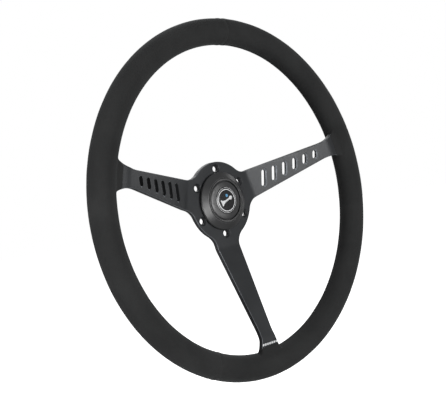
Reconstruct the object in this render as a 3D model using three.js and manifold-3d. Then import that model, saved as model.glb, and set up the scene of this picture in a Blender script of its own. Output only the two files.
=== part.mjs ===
// A dished three-spoke steering wheel with a wrapped rim and a centre horn button.
// Millimetres. The wheel is drawn flat in its own frame, x to the right, y to 12 o'clock and z
// towards the driver, with z = 0 on the hub's mounting face. One turned group then stands it up:
// +Z is 12 o'clock, -Y faces the driver, and +Y runs down the steering column.

import * as THREE from "three";
import { mergeVertices } from "three/addons/utils/BufferGeometryUtils.js";
import Module from "manifold-3d";

const wasm = await Module();
wasm.setup();

// ---------------------------------------------------------------- driving dimensions

const FIT_GAP = 0.3; // clearance between pieces that touch on the real wheel

const WHEEL_DIAMETER = 380;
const GRIP_RADIUS = 13.8;
const RING_RADIUS = WHEEL_DIAMETER / 2 - GRIP_RADIUS;
const RIM_PLANE = 36.3; // centre plane of the rim above the mounting face
const COVER_THICKNESS = 1.3;
const RIM_STEPS = 60; // facets round the rim
const GRIP_STEPS = 14; // facets round the grip's section
const COVER_SEAMS = [87, 244]; // cross seams of the cover, degrees from 3 o'clock
const SEAM_SECTION_ANGLE = 246; // where the long seam runs on the section, inner rear side
const SEAM_HALF_WIDTH = 0.8;

const PLATE_THICKNESS = 5;
const HUB_RADIUS = 42.5;
const HUB_BORE_RADIUS = 25.5;
const BOLT_CIRCLE_RADIUS = 35;
const BOLT_COUNT = 6;
const BOLT_FIRST_ANGLE = 30;
const BOLT_HOLE_RADIUS = 3.2;
const COUNTERSINK_RADIUS = 5;

const SPOKES = [
  { angle: 15, slotLean: 1 },
  { angle: 165, slotLean: -1 },
  { angle: 270, slotLean: 0 },
];
const INCLINE = THREE.MathUtils.degToRad(20.8);
const HUB_FLAT = 49.3; // from the centre to the first bend
const TAB_START = 149.4; // from the centre to the second bend
const TAB_END = RING_RADIUS + 7;
const TAB_HALF_WIDTH = 18;
const BEND_RADIUS = 18;
const SPOKE_HALF_AT_CENTRE = 19.6; // the tapered sides, carried on to the wheel's centre
const SPOKE_TAPER = Math.atan(0.074);
const HUB_FILLET = 17;
const FLARE_START = 138;
const FLARE_RADIUS = 44;

const SLOT_COUNT = 6;
const SLOT_FIRST = 17.8; // along the incline, from the first bend
const SLOT_PITCH = 13.8;
const SLOT_LONGEST = 18.4;
const SLOT_STEP = 1.8;
const SLOT_HALF_WIDTH = 2.3;
const SLOT_LEAN = THREE.MathUtils.degToRad(21);

const ARMATURE_HALF_WIDTH = 7;
const ARMATURE_THICKNESS = 8;
const RIVET_RADIUS = 2.5;
const RIVET_HEAD_RADIUS = 4.2;
const RIVET_HEAD_HEIGHT = 1.6;
const RIVET_SPREAD = 9; // each side of the spoke's centre line

const BEZEL_RADIUS = 31;
const BEZEL_UNDERCUT = 1.9; // how far the foot of the bezel stands in from its edge
const BEZEL_EDGE_LOW = 6.4; // the outer wall starts and ends at these heights
const BEZEL_EDGE_HIGH = 8.3;
const BEZEL_CREST = 12.8;
const BEZEL_CREST_WIDTH = 3;
const BEZEL_LIP_RADIUS = 21.3;
const LIP_CHAMFER = 0.4;
const LIP_UNDERSIDE = 10.6;
const BEZEL_CHAMBER_RADIUS = 23.2;
const CHAMBER_FLOOR = 6.4;
const SKIRT_RADIUS = 24.2;
const SKIRT_BORE_RADIUS = 21;
const SKIRT_END = -6;
const CAP_RADIUS = 20.7;
const CAP_EDGE_CHAMFER = 1;
const CAP_FLANGE_RADIUS = 22.7;
const CAP_FLANGE_THICKNESS = 1.5;
const CAP_WALL = 2;
const CAP_CEILING_DROP = 1; // from the ceiling under the dome to the top of the flange
const CAP_BOSS_RADIUS = 4;
const CAP_CROWN = 14.2;
const CAP_DOME_RADIUS = 100;
const EMBLEM_RADIUS = 14.3;
const EMBLEM_THICKNESS = 1.7;
const HORN_TRAVEL = 2;
const CONTACT_THICKNESS = 0.6;
const MOVING_CONTACT_RADIUS = 15.5;
const MOVING_CONTACT_UNDERSIDE = 8;
const FIXED_CONTACT_RADII = [11, 16.5];
const BASE_FLANGE_RADIUS = 24;
const BASE_FLANGE_THICKNESS = 1.7;
const BASE_FLOOR = -3;
const BASE_SCREW_CIRCLE = 22.6;
const BASE_SCREW_COUNT = 3;
const BASE_SCREW_RADIUS = 1.1;
const BASE_SCREW_HEAD_RADIUS = 1.9;
const BASE_SCREW_HEAD_HEIGHT = 1.2;
const CONTACT_SCREW_RADIUS = 1.2;
const CONTACT_SCREW_HEAD_RADIUS = 2.2;
const CONTACT_SCREW_HEAD_HEIGHT = 1.6;
const CONTACT_SCREW_LENGTH = 3.2;
const SPRING_RADIUS = 6.2;
const SPRING_WIRE = 0.5;
const SPRING_TURNS = 4;
const CLIP_COUNT = 4;
const CLIP_HALF_WIDTH = 3;
const CLIP_THICKNESS = 0.35;
const CLIP_FLAT = 2; // length of the part that bears on the hub's bore
const TERMINAL_WIDTH = 6.3;
const TERMINAL_THICKNESS = 0.8;
const TERMINAL_LENGTH = 8;
const TERMINAL_FOOT = 7;
const SIGNAL_RIVET_X = (FIXED_CONTACT_RADII[0] + FIXED_CONTACT_RADII[1]) / 2;
const GROUND_RIVET_X = -SPRING_RADIUS;
const TERMINAL_RIVET_RADIUS = 1.2;
const TERMINAL_RIVET_HEAD_RADIUS = 2.1;
const TERMINAL_RIVET_HEAD_HEIGHT = 0.9;

// ---------------------------------------------------------------- values worked out from them

const COVER_INNER = GRIP_RADIUS - COVER_THICKNESS;
const FOAM_RADIUS = COVER_INNER - FIT_GAP;
const HALF_PLATE = PLATE_THICKNESS / 2;
const INCLINE_LENGTH = (TAB_START - HUB_FLAT) / Math.cos(INCLINE);
const TAB_CENTRE_Z = HALF_PLATE + INCLINE_LENGTH * Math.sin(INCLINE);
const TAB_BACK = TAB_CENTRE_Z - HALF_PLATE;
const TAB_FRONT = TAB_CENTRE_Z + HALF_PLATE;
const ARMATURE_TOP = TAB_BACK - FIT_GAP;
const ARMATURE_BOTTOM = ARMATURE_TOP - ARMATURE_THICKNESS;
const FIXED_CONTACT_TOP = MOVING_CONTACT_UNDERSIDE - HORN_TRAVEL - FIT_GAP;
const BASE_WALL_TOP = FIXED_CONTACT_TOP - CONTACT_THICKNESS - FIT_GAP;
const BASE_TOP_OF_FLANGE = SKIRT_END - FIT_GAP;
const BASE_BOTTOM = BASE_TOP_OF_FLANGE - BASE_FLANGE_THICKNESS;
const DEGREE = Math.PI / 180;

// ---------------------------------------------------------------- materials

function finish(color, roughness, metalness) {
  return new THREE.MeshStandardMaterial({ color, roughness, metalness });
}

const anodisedBlack = finish(0x26282a, 0.5, 0.6);
const suede = finish(0x222324, 0.95, 0);
const suedeThread = finish(0x1a1b1c, 0.8, 0);
const foamBlack = finish(0x303030, 0.9, 0);
const bareAluminium = finish(0x9a9c9e, 0.4, 0.9);
const zincSteel = finish(0x8a8c90, 0.35, 0.9);
const brass = finish(0xb59a52, 0.35, 0.9);
const mouldedBlack = finish(0x1d1e1f, 0.45, 0);
const emblemBlack = finish(0x18191a, 0.25, 0);

// ---------------------------------------------------------------- geometry helpers

// Leaves positions only, joins shared corners, drops faces that have shrunk to a line, and turns
// the whole surface outwards.
function weld(geometry) {
  geometry.deleteAttribute("normal");
  geometry.deleteAttribute("uv");
  const merged = mergeVertices(geometry, 1e-4);
  const position = merged.getAttribute("position");
  const corner = [new THREE.Vector3(), new THREE.Vector3(), new THREE.Vector3()];
  const faces = [];
  let volume = 0;
  for (let i = 0; i < merged.index.count; i += 3) {
    const face = [0, 1, 2].map((k) => merged.index.getX(i + k));
    if (face[0] === face[1] || face[1] === face[2] || face[2] === face[0]) {
      continue;
    }
    face.forEach((vertex, k) => corner[k].fromBufferAttribute(position, vertex));
    volume += corner[0].dot(corner[1].clone().cross(corner[2])) / 6;
    faces.push(face);
  }
  const outward = volume < 0 ? faces.map(([a, b, c]) => [a, c, b]) : faces;
  merged.setIndex(outward.flat());
  return merged;
}

function solid(geometry) {
  const welded = weld(geometry);
  const mesh = new wasm.Mesh({
    numProp: 3,
    vertProperties: new Float32Array(welded.getAttribute("position").array),
    triVerts: new Uint32Array(welded.index.array),
  });
  return new wasm.Manifold(mesh);
}

function joined(solids) {
  return solids.reduce((sum, piece) => sum.add(piece));
}

function without(body, cutters) {
  return cutters.reduce((rest, cutter) => rest.subtract(cutter), body);
}

function pieceMesh(name, body, material) {
  const result = body.getMesh();
  const geometry = new THREE.BufferGeometry();
  geometry.setAttribute("position", new THREE.BufferAttribute(result.vertProperties, 3));
  geometry.setIndex(new THREE.BufferAttribute(result.triVerts, 1));
  geometry.computeVertexNormals();
  const mesh = new THREE.Mesh(geometry, material);
  mesh.name = name;
  return mesh;
}

// A shape drawn in x and y, raised from low to high.
function prism(shape, low, high, curveSegments = 6) {
  const geometry = new THREE.ExtrudeGeometry(shape, {
    depth: high - low,
    bevelEnabled: false,
    curveSegments,
  });
  return geometry.translate(0, 0, low);
}

// A profile of [radius, z] pairs turned about the z axis. It ends where it starts, or both of its
// ends are on the axis.
function turned(profile, segments) {
  const points = profile.map(([radius, z]) => new THREE.Vector2(radius, z));
  const onAxis = profile[0][0] === 0 && profile.at(-1)[0] === 0;
  if (!onAxis) {
    points.push(points[0].clone());
  }
  return new THREE.LatheGeometry(points, segments).rotateX(Math.PI / 2);
}

function disc(radius, low, high, segments = 32) {
  return turned([[0, low], [radius, low], [radius, high], [0, high]], segments);
}

function tube(inner, outer, low, high, segments = 32) {
  return turned([[inner, low], [outer, low], [outer, high], [inner, high]], segments);
}

function block(width, depth, low, high) {
  return new THREE.BoxGeometry(width, depth, high - low).translate(0, 0, (low + high) / 2);
}

function onCircle(geometry, radius, degrees) {
  return geometry.translate(radius, 0, 0).rotateZ(degrees * DEGREE);
}

function evenAngles(count, first = 0) {
  return Array.from({ length: count }, (_, i) => first + (360 / count) * i);
}

// ---------------------------------------------------------------- spoke plate

// The centre line of the bent plate, as points of [distance from the centre, height] with the
// plate's normal at each. Both bends are arcs.
function bentCentreLine() {
  const cut = BEND_RADIUS * Math.tan(INCLINE / 2);
  const up = new THREE.Vector2(0, HALF_PLATE + BEND_RADIUS);
  const down = new THREE.Vector2(0, TAB_CENTRE_Z - BEND_RADIUS);
  const line = [{ s: 0, z: HALF_PLATE, tilt: 0 }];
  const arcSteps = 3;
  for (let i = 0; i <= arcSteps; i += 1) {
    const tilt = (INCLINE * i) / arcSteps;
    line.push({
      s: HUB_FLAT - cut + BEND_RADIUS * Math.sin(tilt),
      z: up.y - BEND_RADIUS * Math.cos(tilt),
      tilt,
    });
  }
  for (let i = arcSteps; i >= 0; i -= 1) {
    const tilt = (INCLINE * i) / arcSteps;
    line.push({
      s: TAB_START + cut - BEND_RADIUS * Math.sin(tilt),
      z: down.y + BEND_RADIUS * Math.cos(tilt),
      tilt,
    });
  }
  line.push({ s: TAB_END, z: TAB_CENTRE_Z, tilt: 0 });
  return line;
}

// The side view of one spoke as a band of the plate's thickness, wider than any spoke.
function bentBand() {
  const line = bentCentreLine();
  const offset = (side) => line.map(({ s, z, tilt }) => new THREE.Vector2(
    s - side * HALF_PLATE * Math.sin(tilt),
    z + side * HALF_PLATE * Math.cos(tilt),
  ));
  const shape = new THREE.Shape([...offset(-1), ...offset(1).reverse()]);
  const reach = 2 * TAB_HALF_WIDTH;
  return prism(shape, -reach, reach).rotateX(Math.PI / 2);
}

// One side of a spoke in plan: a fillet off the hub's circle, the taper, the flare and the tab.
function spokeSide() {
  const slope = Math.tan(SPOKE_TAPER);
  const reach = HUB_RADIUS + HUB_FILLET;
  const lift = SPOKE_HALF_AT_CENTRE + HUB_FILLET / Math.cos(SPOKE_TAPER);
  const square = 1 + slope * slope;
  const root = Math.sqrt((slope * lift) ** 2 - square * (lift * lift - reach * reach));
  const filletX = (slope * lift + root) / square;
  const filletY = lift - slope * filletX;
  const tangent = -Math.PI / 2 - SPOKE_TAPER;
  const flareX = FLARE_START + FLARE_RADIUS * Math.sin(SPOKE_TAPER);
  const flareY = SPOKE_HALF_AT_CENTRE - slope * FLARE_START + FLARE_RADIUS * Math.cos(SPOKE_TAPER);
  const flareEnd = Math.asin((TAB_HALF_WIDTH - flareY) / FLARE_RADIUS);
  const towardsHub = Math.atan2(filletY, filletX) - Math.PI;
  const side = new THREE.Path();
  side.absarc(filletX, filletY, HUB_FILLET, towardsHub, tangent, false);
  side.absarc(flareX, flareY, FLARE_RADIUS, tangent, flareEnd, false);
  side.lineTo(TAB_END, TAB_HALF_WIDTH);
  return side.getPoints(3);
}

function spokeOutline() {
  const side = spokeSide();
  const mirrored = side.map((point) => new THREE.Vector2(point.x, -point.y));
  return new THREE.Shape([...mirrored, ...side.reverse()]);
}

function slotShape(length, lean) {
  const straight = length / 2 - SLOT_HALF_WIDTH;
  const shape = new THREE.Shape();
  shape.absarc(0, straight, SLOT_HALF_WIDTH, 0, Math.PI, false);
  shape.absarc(0, -straight, SLOT_HALF_WIDTH, Math.PI, 2 * Math.PI, false);
  return prism(shape, -PLATE_THICKNESS, PLATE_THICKNESS, 3).rotateZ(-lean);
}

// The slots stand square to the inclined part of the plate.
function slotCutters(spoke) {
  return Array.from({ length: SLOT_COUNT }, (_, i) => {
    const cutter = slotShape(SLOT_LONGEST - SLOT_STEP * i, spoke.slotLean * SLOT_LEAN);
    return solid(cutter
      .translate(SLOT_FIRST + SLOT_PITCH * i, 0, 0)
      .rotateY(-INCLINE)
      .translate(HUB_FLAT, 0, HALF_PLATE)
      .rotateZ(spoke.angle * DEGREE));
  });
}

function boltHoleCutter(degrees) {
  const sinkDepth = COUNTERSINK_RADIUS - BOLT_HOLE_RADIUS;
  const over = 1;
  const profile = [
    [0, -over],
    [BOLT_HOLE_RADIUS, -over],
    [BOLT_HOLE_RADIUS, PLATE_THICKNESS - sinkDepth],
    [COUNTERSINK_RADIUS + over, PLATE_THICKNESS + over],
    [0, PLATE_THICKNESS + over],
  ];
  return solid(onCircle(turned(profile, 16), BOLT_CIRCLE_RADIUS, degrees));
}

function rivetPlaces() {
  return SPOKES.flatMap((spoke) => [-1, 1].map((side) => ({ angle: spoke.angle, side })));
}

function atRivet(geometry, place) {
  return geometry
    .translate(RING_RADIUS, place.side * RIVET_SPREAD, 0)
    .rotateZ(place.angle * DEGREE);
}

function rivetHoleCutters() {
  const low = ARMATURE_BOTTOM - 1;
  const high = TAB_FRONT + 1;
  return rivetPlaces().map((place) => (
    solid(atRivet(disc(RIVET_RADIUS + FIT_GAP, low, high, 8), place))));
}

function spokePlate() {
  const arms = SPOKES.map((spoke) => {
    const plan = solid(prism(spokeOutline(), -5, RIM_PLANE + 20));
    return plan.intersect(solid(bentBand())).rotate([0, 0, spoke.angle]);
  });
  const hub = solid(disc(HUB_RADIUS, 0, PLATE_THICKNESS, 48));
  const bore = solid(disc(HUB_BORE_RADIUS, -1, PLATE_THICKNESS + 1));
  const bolts = evenAngles(BOLT_COUNT, BOLT_FIRST_ANGLE).map(boltHoleCutter);
  const slots = SPOKES.filter((spoke) => spoke.slotLean !== 0).flatMap(slotCutters);
  return without(joined([hub, ...arms]), [bore, ...bolts, ...slots, ...rivetHoleCutters()]);
}

// ---------------------------------------------------------------- rim

function armatureBand(grow) {
  return tube(
    RING_RADIUS - ARMATURE_HALF_WIDTH - grow,
    RING_RADIUS + ARMATURE_HALF_WIDTH + grow,
    ARMATURE_BOTTOM - grow,
    ARMATURE_TOP + grow,
    RIM_STEPS,
  );
}

function armatureRing() {
  return without(solid(armatureBand(0)), rivetHoleCutters());
}

function rivet(place) {
  const top = TAB_FRONT + FIT_GAP;
  const bottom = ARMATURE_BOTTOM - FIT_GAP;
  const profile = [
    [0, bottom - RIVET_HEAD_HEIGHT],
    [RIVET_HEAD_RADIUS * 0.7, bottom - RIVET_HEAD_HEIGHT],
    [RIVET_HEAD_RADIUS, bottom],
    [RIVET_RADIUS, bottom],
    [RIVET_RADIUS, top],
    [RIVET_HEAD_RADIUS, top],
    [RIVET_HEAD_RADIUS * 0.7, top + RIVET_HEAD_HEIGHT],
    [0, top + RIVET_HEAD_HEIGHT],
  ];
  return solid(atRivet(turned(profile, 8), place));
}

function gripTorus(radius) {
  return new THREE.TorusGeometry(RING_RADIUS, radius, GRIP_STEPS, RIM_STEPS)
    .translate(0, 0, RIM_PLANE);
}

// The room that a spoke's tab takes up inside the rim.
function tabCutters() {
  return SPOKES.map((spoke) => {
    const inner = TAB_START;
    const outer = TAB_END + FIT_GAP;
    const width = 2 * (TAB_HALF_WIDTH + FIT_GAP);
    const pocket = block(outer - inner, width, TAB_BACK - FIT_GAP, TAB_FRONT + FIT_GAP);
    return solid(pocket.translate((inner + outer) / 2, 0, 0).rotateZ(spoke.angle * DEGREE));
  });
}

function rivetHeadCutters() {
  const radius = RIVET_HEAD_RADIUS + FIT_GAP;
  const high = TAB_FRONT + RIVET_HEAD_HEIGHT + 2 * FIT_GAP;
  const low = ARMATURE_BOTTOM - RIVET_HEAD_HEIGHT - 2 * FIT_GAP;
  return rivetPlaces().map((place) => solid(atRivet(disc(radius, low, high, 8), place)));
}

function gripFoam() {
  const cavity = solid(armatureBand(FIT_GAP));
  return without(solid(gripTorus(FOAM_RADIUS)), [cavity, ...tabCutters(), ...rivetHeadCutters()]);
}

// A ring on the grip's section at the long seam, between two depths and of the given half width.
function seamRing(inner, outer, halfWidth) {
  const angle = SEAM_SECTION_ANGLE * DEGREE;
  const along = new THREE.Vector2(Math.cos(angle), Math.sin(angle));
  const across = new THREE.Vector2(-along.y, along.x);
  const corners = [[inner, -1], [outer, -1], [outer, 1], [inner, 1]];
  const profile = corners.map(([distance, side]) => [
    RING_RADIUS + along.x * distance + across.x * side * halfWidth,
    RIM_PLANE + along.y * distance + across.y * side * halfWidth,
  ]);
  return turned(profile, RIM_STEPS);
}

function pieSlice(fromDegrees, toDegrees) {
  const reach = WHEEL_DIAMETER;
  const start = fromDegrees * DEGREE;
  const shape = new THREE.Shape();
  shape.moveTo(0, 0);
  shape.lineTo(reach * Math.cos(start), reach * Math.sin(start));
  shape.absarc(0, 0, reach, start, toDegrees * DEGREE, false);
  return solid(prism(shape, 0, 2 * RIM_PLANE));
}

// One panel of the cover, from one cross seam to the other, open along the long seam.
function coverPanel(fromDegrees, toDegrees) {
  const halfGap = FIT_GAP / 2 / RING_RADIUS / DEGREE;
  const shell = solid(gripTorus(GRIP_RADIUS)).subtract(solid(gripTorus(COVER_INNER)));
  const slit = solid(seamRing(COVER_INNER - 1, GRIP_RADIUS + 1, SEAM_HALF_WIDTH));
  const slice = pieSlice(fromDegrees + halfGap, toDegrees - halfGap);
  return without(shell, [slit, ...tabCutters()]).intersect(slice);
}

function seamThread() {
  const halfWidth = SEAM_HALF_WIDTH - FIT_GAP;
  return solid(seamRing(COVER_INNER + FIT_GAP, GRIP_RADIUS - FIT_GAP, halfWidth));
}

// ---------------------------------------------------------------- horn button

function bezelScrewPlaces() {
  return evenAngles(BASE_SCREW_COUNT, 90);
}

function baseScrewHoles(low, high) {
  const hole = () => disc(BASE_SCREW_RADIUS + FIT_GAP, low, high, 12);
  return bezelScrewPlaces().map((degrees) => solid(onCircle(hole(), BASE_SCREW_CIRCLE, degrees)));
}

function hornBezel() {
  const base = PLATE_THICKNESS + FIT_GAP;
  const profile = [
    [SKIRT_RADIUS, SKIRT_END],
    [SKIRT_RADIUS, base],
    [BEZEL_RADIUS - BEZEL_UNDERCUT, base],
    [BEZEL_RADIUS - BEZEL_UNDERCUT, BEZEL_EDGE_LOW],
    [BEZEL_RADIUS, BEZEL_EDGE_LOW],
    [BEZEL_RADIUS, BEZEL_EDGE_HIGH],
    [BEZEL_LIP_RADIUS + BEZEL_CREST_WIDTH, BEZEL_CREST],
    [BEZEL_LIP_RADIUS + LIP_CHAMFER, BEZEL_CREST],
    [BEZEL_LIP_RADIUS, BEZEL_CREST - LIP_CHAMFER],
    [BEZEL_LIP_RADIUS, LIP_UNDERSIDE],
    [BEZEL_CHAMBER_RADIUS, LIP_UNDERSIDE],
    [BEZEL_CHAMBER_RADIUS, CHAMBER_FLOOR],
    [SKIRT_BORE_RADIUS, CHAMBER_FLOOR],
    [SKIRT_BORE_RADIUS, SKIRT_END],
  ];
  return without(solid(turned(profile, 32)), baseScrewHoles(SKIRT_END - 1, 1));
}

function domeHeight(radius) {
  return CAP_CROWN - (radius * radius) / (2 * CAP_DOME_RADIUS);
}

// The cap's flange sits under the bezel's lip, which keeps it in. Its boss takes the contact screw.
function hornCap() {
  const recessFloor = CAP_CROWN - EMBLEM_THICKNESS - FIT_GAP;
  const recessRadius = EMBLEM_RADIUS + FIT_GAP;
  const flangeTop = LIP_UNDERSIDE - FIT_GAP;
  const flangeBottom = flangeTop - CAP_FLANGE_THICKNESS;
  const ceiling = flangeTop + CAP_CEILING_DROP;
  const bossEnd = MOVING_CONTACT_UNDERSIDE + CONTACT_THICKNESS + FIT_GAP;
  const pilot = CONTACT_SCREW_RADIUS + FIT_GAP;
  const pilotEnd = MOVING_CONTACT_UNDERSIDE + CONTACT_SCREW_LENGTH + FIT_GAP;
  const profile = [
    [0, recessFloor],
    [recessRadius, recessFloor],
    [recessRadius, domeHeight(recessRadius)],
    [CAP_RADIUS - CAP_EDGE_CHAMFER, domeHeight(CAP_RADIUS - CAP_EDGE_CHAMFER)],
    [CAP_RADIUS, domeHeight(CAP_RADIUS) - CAP_EDGE_CHAMFER],
    [CAP_RADIUS, flangeTop],
    [CAP_FLANGE_RADIUS, flangeTop],
    [CAP_FLANGE_RADIUS, flangeBottom],
    [CAP_RADIUS - CAP_WALL, flangeBottom],
    [CAP_RADIUS - CAP_WALL, ceiling],
    [CAP_BOSS_RADIUS, ceiling],
    [CAP_BOSS_RADIUS, bossEnd],
    [pilot, bossEnd],
    [pilot, pilotEnd],
    [0, pilotEnd],
  ];
  return solid(turned(profile, 32));
}

function hornEmblem() {
  const low = CAP_CROWN - EMBLEM_THICKNESS;
  const edge = domeHeight(EMBLEM_RADIUS) - 0.1;
  return solid(turned([[0, low], [EMBLEM_RADIUS, low], [EMBLEM_RADIUS, edge], [0, CAP_CROWN]], 32));
}

function movingContact() {
  const low = MOVING_CONTACT_UNDERSIDE;
  const hole = CONTACT_SCREW_RADIUS + FIT_GAP;
  return solid(tube(hole, MOVING_CONTACT_RADIUS, low, low + CONTACT_THICKNESS));
}

function contactScrew() {
  const seat = MOVING_CONTACT_UNDERSIDE - FIT_GAP;
  const profile = [
    [0, seat - CONTACT_SCREW_HEAD_HEIGHT],
    [CONTACT_SCREW_HEAD_RADIUS, seat - CONTACT_SCREW_HEAD_HEIGHT],
    [CONTACT_SCREW_HEAD_RADIUS, seat],
    [CONTACT_SCREW_RADIUS, seat],
    [CONTACT_SCREW_RADIUS, seat + CONTACT_SCREW_LENGTH],
    [0, seat + CONTACT_SCREW_LENGTH],
  ];
  return solid(turned(profile, 16));
}

function fixedContact() {
  const [inner, outer] = FIXED_CONTACT_RADII;
  const ring = solid(tube(inner, outer, FIXED_CONTACT_TOP - CONTACT_THICKNESS, FIXED_CONTACT_TOP, 32));
  const hole = disc(TERMINAL_RIVET_RADIUS + FIT_GAP, 0, 6, 12).translate(SIGNAL_RIVET_X, 0, 0);
  return ring.subtract(solid(hole));
}

// The insulating base closes the bezel's skirt. Its ring wall carries the fixed contact, and the
// well inside that wall seats the spring.
function hornBase() {
  const [inner, outer] = FIXED_CONTACT_RADII;
  const profile = [
    [0, BASE_BOTTOM],
    [BASE_FLANGE_RADIUS, BASE_BOTTOM],
    [BASE_FLANGE_RADIUS, BASE_TOP_OF_FLANGE],
    [SKIRT_BORE_RADIUS - FIT_GAP, BASE_TOP_OF_FLANGE],
    [SKIRT_BORE_RADIUS - FIT_GAP, BASE_FLOOR],
    [outer + 0.5, BASE_FLOOR],
    [outer + 0.5, BASE_WALL_TOP],
    [inner - 0.5, BASE_WALL_TOP],
    [inner - 0.5, BASE_FLOOR],
    [0, BASE_FLOOR],
  ];
  const screwHoles = baseScrewHoles(BASE_BOTTOM - 1, BASE_TOP_OF_FLANGE + 1);
  const rivetHoles = [SIGNAL_RIVET_X, GROUND_RIVET_X].map((x) => (
    solid(disc(TERMINAL_RIVET_RADIUS + FIT_GAP, BASE_BOTTOM - 1, 6, 12).translate(x, 0, 0))));
  return without(solid(turned(profile, 32)), [...screwHoles, ...rivetHoles]);
}

function baseScrew(degrees) {
  const seat = BASE_BOTTOM - FIT_GAP;
  const head = seat - BASE_SCREW_HEAD_HEIGHT;
  const profile = [
    [0, head],
    [BASE_SCREW_HEAD_RADIUS * 0.7, head],
    [BASE_SCREW_HEAD_RADIUS, seat],
    [BASE_SCREW_RADIUS, seat],
    [BASE_SCREW_RADIUS, 0],
    [0, 0],
  ];
  return solid(onCircle(turned(profile, 12), BASE_SCREW_CIRCLE, degrees));
}

// The blade hangs from the outer end of its foot, so the rivet's head stays clear of it.
function terminal(rivetX) {
  const outward = Math.sign(rivetX);
  const footTop = BASE_BOTTOM - FIT_GAP;
  const footBottom = footTop - TERMINAL_THICKNESS;
  const foot = solid(block(TERMINAL_FOOT, TERMINAL_WIDTH, footBottom, footTop));
  const bladeX = outward * (TERMINAL_FOOT / 2 - TERMINAL_THICKNESS / 2);
  const bladeLow = footTop - TERMINAL_LENGTH;
  const blade = solid(block(TERMINAL_THICKNESS, TERMINAL_WIDTH, bladeLow, footTop)
    .translate(bladeX, 0, 0));
  const hole = solid(disc(TERMINAL_RIVET_RADIUS + FIT_GAP, footBottom - 1, footTop + 1, 12));
  return foot.add(blade).subtract(hole).translate([rivetX, 0, 0]);
}

function terminalRivet(x, top) {
  const seat = BASE_BOTTOM - TERMINAL_THICKNESS - 2 * FIT_GAP;
  const head = seat - TERMINAL_RIVET_HEAD_HEIGHT;
  const profile = [
    [0, head],
    [TERMINAL_RIVET_HEAD_RADIUS * 0.7, head],
    [TERMINAL_RIVET_HEAD_RADIUS, seat],
    [TERMINAL_RIVET_RADIUS, seat],
    [TERMINAL_RIVET_RADIUS, top],
    [0, top],
  ];
  return solid(turned(profile, 12).translate(x, 0, 0));
}

// A bowed leaf of spring steel between the bezel's skirt and the hub's bore.
function hornClip(degrees) {
  const inner = SKIRT_RADIUS + FIT_GAP;
  const outer = HUB_BORE_RADIUS - FIT_GAP;
  const flatMiddle = PLATE_THICKNESS / 3;
  const bow = (reach, rise) => [
    [reach, SKIRT_END + 1],
    [reach + rise, flatMiddle - CLIP_FLAT / 2],
    [reach + rise, flatMiddle + CLIP_FLAT / 2],
    [reach, PLATE_THICKNESS],
  ];
  const rise = outer - CLIP_THICKNESS - inner;
  const side = [...bow(inner, rise), ...bow(inner + CLIP_THICKNESS, rise).reverse()];
  const shape = new THREE.Shape(side.map(([x, z]) => new THREE.Vector2(x, z)));
  return solid(prism(shape, -CLIP_HALF_WIDTH, CLIP_HALF_WIDTH)
    .rotateX(Math.PI / 2)
    .rotateZ(degrees * DEGREE));
}

class Helix extends THREE.Curve {
  constructor(radius, low, high, turns) {
    super();
    Object.assign(this, { radius, low, high, turns });
  }

  getPoint(t, target = new THREE.Vector3()) {
    const angle = 2 * Math.PI * this.turns * t;
    const z = this.low + (this.high - this.low) * t;
    return target.set(this.radius * Math.cos(angle), this.radius * Math.sin(angle), z);
  }
}

function hornSpring() {
  const low = BASE_FLOOR + FIT_GAP + SPRING_WIRE;
  const high = MOVING_CONTACT_UNDERSIDE - FIT_GAP - SPRING_WIRE;
  const wire = new THREE.Shape();
  wire.absarc(0, 0, SPRING_WIRE, 0, 2 * Math.PI, false);
  return solid(new THREE.ExtrudeGeometry(wire, {
    steps: 14 * SPRING_TURNS,
    curveSegments: 3,
    bevelEnabled: false,
    extrudePath: new Helix(SPRING_RADIUS, low, high, SPRING_TURNS),
  }));
}

// ---------------------------------------------------------------- assembly

const wheel = new THREE.Group();
wheel.rotation.x = Math.PI / 2;

function addPiece(name, body, material) {
  wheel.add(pieceMesh(name, body, material));
}

addPiece("spoke_plate", spokePlate(), anodisedBlack);
addPiece("rim_armature_ring", armatureRing(), bareAluminium);
rivetPlaces().forEach((place, i) => addPiece(`spoke_rivet_${i + 1}`, rivet(place), bareAluminium));
addPiece("rim_grip_foam", gripFoam(), foamBlack);
addPiece("rim_cover_left", coverPanel(COVER_SEAMS[0], COVER_SEAMS[1]), suede);
addPiece("rim_cover_right", coverPanel(COVER_SEAMS[1], COVER_SEAMS[0] + 360), suede);
addPiece("rim_seam_thread", seamThread(), suedeThread);

addPiece("horn_bezel", hornBezel(), mouldedBlack);
addPiece("horn_cap", hornCap(), mouldedBlack);
addPiece("horn_emblem", hornEmblem(), emblemBlack);
addPiece("horn_moving_contact", movingContact(), brass);
addPiece("horn_contact_screw", contactScrew(), zincSteel);
addPiece("horn_fixed_contact", fixedContact(), brass);
addPiece("horn_base", hornBase(), mouldedBlack);
bezelScrewPlaces().forEach((degrees, i) => {
  addPiece(`horn_base_screw_${i + 1}`, baseScrew(degrees), zincSteel);
});
addPiece("horn_terminal_signal", terminal(SIGNAL_RIVET_X), brass);
addPiece("horn_terminal_ground", terminal(GROUND_RIVET_X), brass);
addPiece("horn_rivet_signal", terminalRivet(SIGNAL_RIVET_X, FIXED_CONTACT_TOP - FIT_GAP), brass);
addPiece("horn_rivet_ground", terminalRivet(GROUND_RIVET_X, BASE_FLOOR - FIT_GAP), brass);
evenAngles(CLIP_COUNT, 45).forEach((degrees, i) => {
  addPiece(`horn_clip_${i + 1}`, hornClip(degrees), zincSteel);
});
addPiece("horn_spring", hornSpring(), zincSteel);

export default wheel;
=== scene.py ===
"""A dished sport steering wheel: slotted spoke plate, suede-covered rim and a sprung horn button.

Shapes are drawn in millimetres in the wheel's own frame, x to the right, y to 12 o'clock and z
towards the driver, with z = 0 on the hub's mounting face. TO_ROW then stands them up in metres.
"""
import math
from math import cos, pi, radians, sin

import bmesh
import bpy
from mathutils import Matrix, Vector, geometry, noise
from mathutils.kdtree import KDTree


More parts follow.
